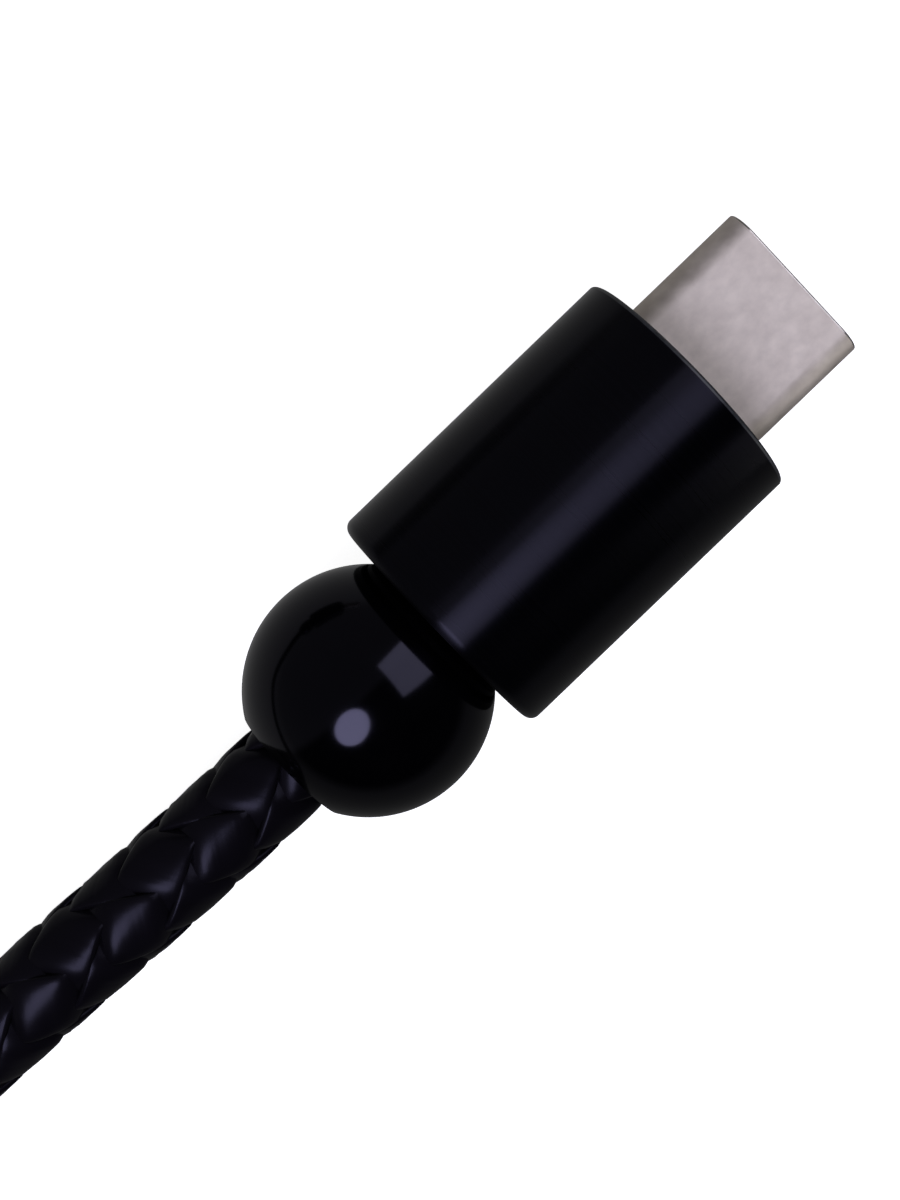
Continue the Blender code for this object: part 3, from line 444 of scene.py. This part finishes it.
def new_piece(name, body, material, builder):
    """Links the built mesh as a piece that rides on a body and takes its finish from a slot."""
    bmesh.ops.recalc_face_normals(builder, faces=builder.faces)
    mesh = bpy.data.meshes.new(name)
    builder.to_mesh(mesh)
    builder.free()
    mesh.materials.append(material)
    mesh.shade_smooth()
    mesh.set_sharp_from_angle(angle=SHARP_FROM)
    piece = bpy.data.objects.new(name, mesh)
    bpy.context.scene.collection.objects.link(piece)
    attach(piece, body)
    return piece


def hoop(outline, width, height, corner, steps, centre):
    """A closed ring whose outline of (x, inset) points runs round a rounded rectangle. Its UV map
    holds the way along the outline and the way round."""
    builder = bmesh.new()
    rings = []
    for x, inset in outline:
        ring = rounded_ring(width - 2 * inset, height - 2 * inset, corner - inset, steps)
        rings.append([builder.verts.new(centre + Vector((x, y, z))) for y, z in ring])
    layer = builder.loops.layers.uv.new("turning")
    count = len(rings[0])
    passed = [0.0]
    for (x0, inset0), (x1, inset1) in zip(outline, outline[1:] + outline[:1]):
        passed.append(passed[-1] + math.hypot(x1 - x0, inset1 - inset0) / MM)
    for at, ring in enumerate(rings):
        after = rings[(at + 1) % len(rings)]
        for step in range(count):
            corners = (ring[step], ring[(step + 1) % count], after[(step + 1) % count], after[step])
            face = builder.faces.new(corners)
            places = ((at, step), (at, step + 1), (at + 1, step + 1), (at + 1, step))
            for loop, (far, round_by) in zip(face.loops, places):
                loop[layer].uv = (passed[far], round_by / count)
    return builder


def turned(outline, centre):
    """A ring turned about a line along X through the centre, from its outline of (x, radius)."""
    return hoop([(x, -radius) for x, radius in outline], 0, 0, 0, QUARTER_STEPS, centre)


def cut_between(piece, first_end, second_end):
    """Cuts a prism out of the piece, between two outlines that match point for point."""
    builder = bmesh.new()
    first = [builder.verts.new(point) for point in first_end]
    second = [builder.verts.new(point) for point in second_end]
    builder.faces.new(first)
    builder.faces.new(reversed(second))
    for at in range(len(first)):
        builder.faces.new((first[at - 1], second[at - 1], second[at], first[at]))
    bmesh.ops.recalc_face_normals(builder, faces=builder.faces)
    mesh = bpy.data.meshes.new("cutter")
    builder.to_mesh(mesh)
    builder.free()
    cutter = bpy.data.objects.new("cutter", mesh)
    bpy.context.scene.collection.objects.link(cutter)
    modifier = piece.modifiers.new("cut", "BOOLEAN")
    modifier.object = cutter
    graph = bpy.context.evaluated_depsgraph_get()
    made = bpy.data.meshes.new_from_object(
        piece.evaluated_get(graph), preserve_all_data_layers=True, depsgraph=graph)
    piece.modifiers.remove(modifier)
    piece.data = made
    bpy.data.objects.remove(cutter)


# Black sulphuric-acid anodising over turned aluminium: a glassy dyed film over fine grooves that
# run round, so that reflections smear along the barrel and stay narrow across it.
anodised = speckled("black_anodised_turned_aluminium", ("#020203", "#040406"), TURNING_MARKS,
                    (0.27, 0.30), 0.0002 * MM, IOR=1.55, Anisotropic=1.0, Specular_IOR_Level=0.19,
                    Specular_Tint=hex_colour("#e0dcff"))
tree = anodised.node_tree
grooves = add_node(tree, "ShaderNodeTangent", direction_type="UV_MAP", uv_map="turning")
tree.links.new(grooves.outputs[0], tree.nodes["Principled BSDF"].inputs["Tangent"])

# The same film on the front edge, equally glossy all ways, with a greyer colour that is a painted
# highlight for the thin light line the rim catches.
edge_painted_highlight = speckled("anodised_edge_painted_highlight", ("#1c1d20", "#34363b"), (0.3 * MM,) * 3, (0.3, 0.4),
                  0.001 * MM, IOR=1.55)

for end in (c_end, a_end):
    low, high = end["barrel"]
    outer, length = (high.y - low.y) / 2, high.x - low.x
    bore = outer - BARREL_WALL
    shell_low, shell_high = end["shell"]
    window = [shell_high.y - shell_low.y + 2 * GAP, shell_high.z - shell_low.z + 2 * GAP]
    pilot = window[1] / 4  # a small round hole, which the window then takes in
    outline = [(0.0, pilot)]
    outline += arc(-BARREL_FRONT_EDGE, outer - BARREL_FRONT_EDGE, BARREL_FRONT_EDGE, 0, 90, 5)
    outline += arc(BARREL_REAR_EDGE - length, outer - BARREL_REAR_EDGE, BARREL_REAR_EDGE, 90, 180, 12)
    outline += [(-length, bore + BORE_EDGE), (BORE_EDGE - length, bore)]
    outline += [(-BARREL_WALL, bore), (-BARREL_WALL, pilot)]
    piece = new_piece(end["name"] + "_turned_barrel", "root", anodised,
                      turned(outline, end["front"]))
    opening = rounded_ring(*window, end["shell_corner"] + GAP - 2 * CORNER_MARGIN, 10)
    cut_between(piece, *([end["front"] + Vector((x, y, z)) for y, z in opening]
                         for x in (BARREL_WALL, -2 * BARREL_WALL)))
    # The front edge's faces take the greyer film: a painted highlight along the rim.
    piece.data.materials.append(edge_painted_highlight)
    for face in piece.data.polygons:
        off_front = end["front"].x - face.center.x
        if face.normal.x > 0.1 and 0 < off_front < BARREL_FRONT_EDGE:
            face.material_index = 1
    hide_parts(end["name"] + "_barrel")
    end["pieces"].append(piece)

# ---- Beads ----------------------------------------------------------------------------------
# A cast acrylic ball on each end of the cord, bored through and tumbled to a wet-looking polish.
# It turns on its grip ring, and slides along the cord with it.

BEAD_HOLE = 5.7 * MM
BEAD_EDGE = 0.18 * MM  # rounding of the rims of the hole
RIM_WIDTH = 0.21 * MM  # from the hole's wall to where the ball's own curve begins
RUNNING_GAP = 0.05 * MM

# Cast acrylic, dyed through and tumbled: like black glass, with clear reflections that soften a
# little where the polish wanders.
acrylic = speckled("polished_black_acrylic", ("#010102", "#030304"), (3 * MM,) * 3, (0.09, 0.13),
                   0.004 * MM, IOR=1.49, Specular_IOR_Level=0.28, Specular_Tint=hex_colour("#e0dcff"))

for end in (c_end, a_end):
    low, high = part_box(end["name"] + "_bead")
    ring_low, ring_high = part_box(end["name"] + "_bead_grip_ring")
    end["bead_centre"] = centre = (low + high) / 2
    radius, hole = (high.y - low.y) / 2, BEAD_HOLE / 2
    groove = (ring_high.y - ring_low.y) / 2 + RUNNING_GAP
    half_groove = (ring_high.x - ring_low.x) / 2 + RUNNING_GAP
    rim_angle = math.degrees(math.asin((hole + RIM_WIDTH) / radius))
    rim_x = radius * math.cos(math.radians(rim_angle))
    outline = arc(0.0, 0.0, radius, rim_angle, 180 - rim_angle, 56)
    outline += arc(BEAD_EDGE - rim_x, hole + BEAD_EDGE, BEAD_EDGE, 200, 270, 5)
    outline += [(-half_groove, hole), (-half_groove, groove), (half_groove, groove)]
    outline += [(half_groove, hole)]
    outline += arc(rim_x - BEAD_EDGE, hole + BEAD_EDGE, BEAD_EDGE, 270, 340, 5)
    piece = new_piece(end["name"] + "_polished_bead", end["name"] + "_bead_ball",
                      acrylic, turned(outline, centre))
    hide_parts(end["name"] + "_bead")
    end["pieces"].append(piece)

# ---- Grip rings and cord bushes --------------------------------------------------------------
# A silicone ring sits in each bead's groove and grips the cord just enough to hold the bead. The
# moulded bush behind it closes the barrel's mouth and is dished for the bead to seat in.

RIB_COUNT = 5
RIB_STEPS = 6  # points along each rib
RING_EDGE = 0.12 * MM
PLAIT_ROOM = 0.14 * MM  # the plait stands this much further out than a plain round cord
DISH_EDGE = 0.1 * MM

# Moulded silicone: matt charcoal, slightly dusty.
silicone = speckled("matt_black_silicone", ("#0b0b0c", "#161618"), (0.3 * MM,) * 3, (0.6, 0.75),
                    0.01 * MM, IOR=1.41, Specular_IOR_Level=0.4)
# Moulded nylon: black and satin, with the fine grain of an eroded mould.
nylon = speckled("black_moulded_nylon", ("#08080a", "#121215"), (0.15 * MM,) * 3, (0.42, 0.55),
                 0.006 * MM, IOR=1.53)

for end in (c_end, a_end):
    low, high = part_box(end["name"] + "_bead_grip_ring")
    half, outer = (high.x - low.x) / 2, (high.y - low.y) / 2
    inner = CORD_DIAMETER / 2 + GAP + PLAIT_ROOM
    outline = arc(half - RING_EDGE, outer - RING_EDGE, RING_EDGE, 0, 90, 4)
    outline += arc(RING_EDGE - half, outer - RING_EDGE, RING_EDGE, 90, 180, 4)
    for step in range(RIB_COUNT * RIB_STEPS + 1):
        share = step / (RIB_COUNT * RIB_STEPS)
        ridge = RING_EDGE * (0.5 + 0.5 * math.cos(math.tau * RIB_COUNT * share))
        outline.append(((2 * share - 1) * half, inner + ridge))
    piece = new_piece(end["name"] + "_ribbed_grip_ring", end["name"] + "_bead_grip",
                      silicone, turned(outline, (low + high) / 2))
    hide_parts(end["name"] + "_bead_grip_ring")
    end["pieces"].append(piece)

    low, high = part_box(end["name"] + "_cord_bush")
    centre = Vector((low.x, end["front"].y, end["front"].z))
    outer, hole, length = (high.y - low.y) / 2, CORD_DIAMETER / 2 + GAP, high.x - low.x
    bead_low, bead_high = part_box(end["name"] + "_bead")
    dish = (bead_high.y - bead_low.y) / 2 + GAP
    behind = low.x - end["bead_centre"].x
    edge_angle = math.degrees(math.acos(behind / dish))
    hole_angle = math.degrees(math.asin(hole / dish))
    outline = [(length, hole + DISH_EDGE), (length, outer - DISH_EDGE)]
    outline += [(length - DISH_EDGE, outer), (DISH_EDGE, outer), (0.0, outer - DISH_EDGE)]
    outline += arc(-behind, 0.0, dish, edge_angle, hole_angle, 24)
    outline.append((length - DISH_EDGE, hole))
    piece = new_piece(end["name"] + "_dished_bush", "root", nylon,
                      turned(outline, centre))
    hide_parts(end["name"] + "_cord_bush")
    end["pieces"].append(piece)

# ---- Plug shells ----------------------------------------------------------------------------
# The USB-C shell is deep drawn from stainless strip and the USB-A shell is rolled from plated
# steel, with latch windows on both faces. Both are held in the barrel's moulded core.

C_SHELL_WALL = 0.2 * MM
A_SHELL_WALL = 0.3 * MM
A_WINDOW = (2.0 * MM, 2.5 * MM)  # along X and along Y
A_WINDOW_CORNER = 0.25 * MM
A_WINDOW_FROM_TIP = 6.2 * MM
A_WINDOW_SPACING = 5.0 * MM
TIP_EDGE = 0.2 * MM  # how far back from its tip a shell's edge is made shinier and painted darker as painted shade

# Satin nickel over tumbled steel: pale warm grey metal with a soft broad gloss and faint mottling.
satin_nickel = speckled("satin_nickel_plate", ("#e6dbd1", "#f8eee4"), (0.8 * MM, 0.7 * MM, 0.7 * MM),
                        (0.54, 0.60), 0.003 * MM, Metallic=1.0)

# The same plating on each shell's front edge, rubbed smoother by sockets into a thin shinier line, and
# painted darker: painted shade along the rounded rim.
shiny_tip_painted_shade = speckled("shiny_nickel_edge_painted_shade", ("#b9b2ac", "#d8d1cb"), (0.3 * MM,) * 3, (0.2, 0.3),
                     0.001 * MM, Metallic=1.0)


def give_tip_painted_shade(shell):
    """Gives the shell's front edge the shinier finish with its painted shade."""
    shell.data.materials.append(shiny_tip_painted_shade)
    tip = max(vertex.co.x for vertex in shell.data.vertices)
    for face in shell.data.polygons:
        if face.normal.x > 0.1 and tip - face.center.x < TIP_EDGE:
            face.material_index = 1


def shell_outline(low, high, wall, centre):
    """The (x, inset) outline of a drawn shell: its front edge rounded, its rear edge square."""
    rear, tip, edge = low.x - centre.x, high.x - centre.x, wall / 2
    outline = [(rear, 0.0)]
    outline += [(tip - edge + edge * math.sin(a), edge - edge * math.cos(a))
                for a in (math.pi * step / 10 for step in range(11))]
    return outline + [(rear, wall)]


low, high = c_end["shell"]
height = high.z - low.z
shell = new_piece("usb_c_drawn_shell", "root", satin_nickel, hoop(
    shell_outline(low, high, C_SHELL_WALL, c_front), high.y - low.y, height,
    height / 2 - CORNER_MARGIN, 14, c_front))
give_tip_painted_shade(shell)
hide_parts("usb_c_shell")

low, high = a_end["shell"]
a_shell = new_piece("usb_a_rolled_shell", "root", satin_nickel, hoop(
    shell_outline(low, high, A_SHELL_WALL, a_front), high.y - low.y, high.z - low.z,
    A_SHELL_CORNER, 8, a_front))
for side_y in (-1, 1):
    middle = Vector((high.x - A_WINDOW_FROM_TIP, a_front.y + side_y * A_WINDOW_SPACING / 2, 0))
    opening = rounded_ring(*A_WINDOW, A_WINDOW_CORNER, 5)
    cut_between(a_shell, *([middle + Vector((x, y, z)) for x, y in opening]
                           for z in (high.z + MM, low.z - MM)))
give_tip_painted_shade(a_shell)
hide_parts("usb_a_shell")
a_end["pieces"].append(a_shell)

# ---- Plug contacts ---------------------------------------------------------------------------
# Stamped phosphor-bronze springs with a gold flash where they touch, each pressed into its own
# channel of the insulator. A Geometry Nodes tree sets one strip on each contact's place.

# Gold flash on rolled bronze: warm yellow metal with fine lines along the plug.
gold = speckled("gold_flashed_bronze", ("#d8ac52", "#e6c06a"), (1.2 * MM, 0.06 * MM, 0.06 * MM),
                (0.22, 0.32), 0.001 * MM, Metallic=1.0)

contacts, given = geometry_tree("contacts", Length="Float", Width="Float", Thickness="Float",
                                Edge="Float", Finish="Material")
strip = add_node(contacts, "GeometryNodeCurvePrimitiveQuadrilateral", {
    "Width": given["Width"], "Height": given["Thickness"]})
strip = add_node(contacts, "GeometryNodeFilletCurve", {
    "Curve": strip, "Radius": given["Edge"], "Limit Radius": True}, mode="POLY")
run = add_node(contacts, "GeometryNodeCurvePrimitiveLine", {
    "End": add_node(contacts, "ShaderNodeCombineXYZ", [given["Length"]])})
run = add_node(contacts, "GeometryNodeSetCurveNormal", [run], mode="Z_UP")
blade = add_node(contacts, "GeometryNodeCurveToMesh", {
    "Curve": run, "Profile Curve": strip, "Fill Caps": True})
blades = add_node(contacts, "GeometryNodeInstanceOnPoints", {
    "Points": given["Geometry"], "Instance": blade})
real = add_node(contacts, "GeometryNodeRealizeInstances", [blades])
done = add_node(contacts, "GeometryNodeSetMaterial", {
    "Geometry": real, "Material": given["Finish"]})
add_node(contacts, "NodeGroupOutput", [done])

for end, rows in ((c_end, ("usb_c_contact_a", "usb_c_contact_b")), (a_end, ("usb_a_contact_",))):
    nodes = [name for name in sorted(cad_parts)
             if name.startswith(rows) and name[len(rows[0]):].isdigit()]
    alike = {}  # the contacts of each length
    for node in nodes:
        low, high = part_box(node)
        alike.setdefault(round((high.x - low.x) / MM, 1), []).append(node)
    for group in alike.values():
        places = []
        for node in group:
            low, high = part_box(node)
            places.append(Vector((low.x, (low.y + high.y) / 2, (low.z + high.z) / 2)))
        low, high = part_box(group[0])
        piece = grown(f"{end['name']}_contact_springs_{len(group)}_{round((high.x - low.x) / MM)}",
                      places, [], contacts, {
                          "Length": high.x - low.x, "Width": high.y - low.y,
                          "Thickness": high.z - low.z, "Edge": (high.z - low.z) / 5,
                          "Finish": gold})
        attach(piece, "root")
        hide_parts(*group)
        end["pieces"].append(piece)

# ---- Inside the plugs ------------------------------------------------------------------------
# What fills each plug and barrel: the moulded insulator or tongue, the springs and the small board,
# the drawn cans, the ferrule that clamps the cord, the jacket's end and its four soldered wires.

INSIDES = (
    # Glass-filled black LCP, moulded, matt, with a little flow marking along the plug.
    ("black_glass_filled_lcp", ("#0a0a0b", "#141416"), (1.4, 0.3, 0.3), (0.5, 0.62), 0.006,
     {"IOR": 1.6}, ("usb_c_insulator",)),
    # White PBT, moulded: chalky, with a soft gloss.
    ("white_moulded_pbt", ("#dcdcd8", "#e8e8e4"), (1.1, 0.5, 0.5), (0.36, 0.48), 0.005,
     {"IOR": 1.55, "Subsurface Weight": 0.1, "Subsurface Radius": (0.3 * MM,) * 3},
     ("usb_a_tongue", "usb_a_contact_retainer")),
    # Spring-temper stainless strip, rolled along the plug.
    ("rolled_spring_stainless", ("#b9b9bb", "#cfcfd1"), (1.5, 0.07, 0.07), (0.25, 0.36), 0.001,
     {"Metallic": 1.0}, ("usb_c_ground_spring_upper", "usb_c_ground_spring_lower",
                         "usb_c_latch_spring")),
    # Tinned steel, deep drawn, duller than the plug's own shell.
    ("tinned_drawn_steel", ("#a3a4a6", "#bdbec0"), (0.9, 0.25, 0.25), (0.38, 0.52), 0.003,
     {"Metallic": 1.0}, ("usb_c_rear_can", "usb_a_rear_can")),
    # Rolled brass strip, crimped round the cord and lightly tarnished.
    ("crimped_brass", ("#a9854a", "#c29b58"), (0.25, 0.8, 0.8), (0.32, 0.48), 0.004,
     {"Metallic": 1.0}, ("usb_c_cord_ferrule", "usb_a_cord_ferrule")),
    # Woven glass and epoxy under a green solder mask, glossy and faintly mottled.
    ("green_solder_mask", ("#0c3a22", "#125030"), (0.4, 0.4, 0.4), (0.22, 0.32), 0.002,
     {"IOR": 1.55}, ("usb_c_circuit_board",)),
    # Fired ruthenium glaze on a ceramic chip: almost black, with a low gloss.
    ("glazed_chip_resistor", ("#121214", "#1d1d20"), (0.2, 0.1, 0.1), (0.3, 0.42), 0.002,
     {"IOR": 1.6}, ("usb_c_resistor",)),
    # Low-pressure polyolefin, cast round the can: milky and waxy.
    ("milky_cast_polyolefin", ("#c9c7bd", "#d9d7cf"), (1.2, 1.2, 1.2), (0.4, 0.55), 0.01,
     {"IOR": 1.5, "Subsurface Weight": 0.2, "Subsurface Radius": (0.8 * MM,) * 3},
     ("usb_c_inner_mould", "usb_a_inner_mould")),
    # Extruded soft PVC, matt black, drawn along the cord.
    ("extruded_black_pvc", ("#101011", "#19191b"), (1.8, 0.3, 0.3), (0.5, 0.64), 0.006,
     {"IOR": 1.53}, ("usb_c_cable_jacket", "usb_a_cable_jacket")),
    # Extruded polyethylene over the four conductors, in the four colours of their uses.
    ("extruded_red_insulation", ("#8f1512", "#a81d18"), (1.2, 0.3, 0.3), (0.34, 0.46), 0.003,
     {"IOR": 1.51}, ("usb_c_wire_red", "usb_a_wire_red")),
    ("extruded_white_insulation", ("#d2d2cf", "#e2e2df"), (1.2, 0.3, 0.3), (0.34, 0.46), 0.003,
     {"IOR": 1.51}, ("usb_c_wire_white", "usb_a_wire_white")),
    ("extruded_green_insulation", ("#14682f", "#1b7f3b"), (1.2, 0.3, 0.3), (0.34, 0.46), 0.003,
     {"IOR": 1.51}, ("usb_c_wire_green", "usb_a_wire_green")),
    ("extruded_black_insulation", ("#0d0d0e", "#161618"), (1.2, 0.3, 0.3), (0.34, 0.46), 0.003,
     {"IOR": 1.51}, ("usb_c_wire_black", "usb_a_wire_black")),
)

for name, colours, grain_mm, roughness, relief_mm, sockets, nodes in INSIDES:
    grain = [size * MM for size in grain_mm]
    material = speckled(name, colours, grain, roughness, relief_mm * MM, **sockets)
    for node in nodes:
        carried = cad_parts[node]
        carried.data.materials.clear()
        carried.data.materials.append(material)
        if node.startswith("usb_a"):
            a_end["pieces"].append(carried)

# ---- Floor, lights and surroundings ---------------------------------------------------------
# A sheet of matt white paper, lit from below like a light table, under two large softboxes, one
# over the cord and one over the plug. A small white card stands beside the plug, and a dim wall on
# the barrels' far side gives the rest.

FLOOR_HALF = 3.0
PAPER_GLOW = 0.92
BACKDROP_GLOW = 0.93  # what the camera sees where the paper ends
FAR_SIDE = (0.03, 0.12)  # of a ray's slant towards +Y, where the glow starts and ends its rise
WALL_GLOW = (0.004, 0.115)  # on the near side and on the far side
TABLE_EDGE = (-0.15, 0.05)  # of a ray's slant upwards, where the table gives way to the wall
TABLE_GLOW = (0.08, 0.2)  # on the near side and on the far side
SOFTBOX_DISTANCE = 0.6

floor_mesh = bpy.data.meshes.new("floor")
floor_mesh.from_pydata([(-FLOOR_HALF, -FLOOR_HALF, 0), (FLOOR_HALF, -FLOOR_HALF, 0),
                        (FLOOR_HALF, FLOOR_HALF, 0), (-FLOOR_HALF, FLOOR_HALF, 0)], [], [(0, 1, 2, 3)])
floor = bpy.data.objects.new("floor", floor_mesh)
bpy.context.scene.collection.objects.link(floor)
floor_mesh.materials.append(speckled(
    "matt_white_paper", ("#f0f0f2", "#f6f6f7"), (2 * MM,) * 3, (0.85, 0.95), 0.01 * MM,
    Emission_Color=hex_colour("#ffffff"), Emission_Strength=PAPER_GLOW))
floor.visible_glossy = floor.visible_diffuse = False


def flat_light(name, shape, faced, direction, distance, width, height, brightness, colour):
    """An even light of this shape that faces a point from this direction."""
    light = bpy.data.lights.new(name, "AREA")
    light.shape, light.size, light.size_y = shape, width, height
    light.energy = brightness * math.pi * width * height
    light.color = hex_colour(colour)[:3]
    lamp = bpy.data.objects.new(name, light)
    bpy.context.scene.collection.objects.link(lamp)
    towards = Vector(direction).normalized()
    lamp.matrix_world = Matrix.Translation(faced + towards * distance) @ towards.to_track_quat(
        "Z", "Y").to_matrix().to_4x4()
    lamp.visible_camera = False


flat_light("softbox_over_the_cord", "ELLIPSE", c_exit, (-0.49, -0.135, 0.86), SOFTBOX_DISTANCE,
           0.29, 0.39, 5.3, "#e6e6ff")
flat_light("softbox_over_the_plug", "RECTANGLE", c_exit, (0.68, -0.06, 0.73), SOFTBOX_DISTANCE,
           0.40, 0.42, 1.95, "#eeeeff")
plug_middle = Vector(((c_shell_high.x + c_front.x) / 2, c_front.y, c_front.z))
flat_light("card_beside_the_plug", "RECTANGLE", plug_middle, (0.3, -0.9, 0.32), 20 * MM,
           8 * MM, 14 * MM, 0.85, "#ffffff")

bpy.context.scene.view_settings.view_transform = "Standard"
world = bpy.data.worlds.new("studio")
bpy.context.scene.world = world
world.use_nodes = True
studio = world.node_tree
towards = add_node(studio, "ShaderNodeSeparateXYZ", [
    add_node(studio, "ShaderNodeTexCoord").outputs["Generated"]]).outputs
far_side = add_node(studio, "ShaderNodeMapRange", {
    "Value": towards["Y"], "From Min": FAR_SIDE[0], "From Max": FAR_SIDE[1]})
wall, table = [add_node(studio, "ShaderNodeMapRange", {
    "Value": far_side, "To Min": glow[0], "To Max": glow[1]}) for glow in (WALL_GLOW, TABLE_GLOW)]
upper = add_node(studio, "ShaderNodeMapRange", {
    "Value": towards["Z"], "From Min": TABLE_EDGE[0], "From Max": TABLE_EDGE[1]})
dim_light = add_node(studio, "ShaderNodeMix", {"Factor": upper, "A": table, "B": wall})
backdrop = add_node(studio, "ShaderNodeMix", {
    "Factor": add_node(studio, "ShaderNodeLightPath").outputs["Is Camera Ray"],
    "A": dim_light, "B": BACKDROP_GLOW})
studio.links.new(backdrop.outputs[0], studio.nodes["Background"].inputs["Strength"])
studio.nodes["Background"].inputs["Color"].default_value = hex_colour("#ffffff")
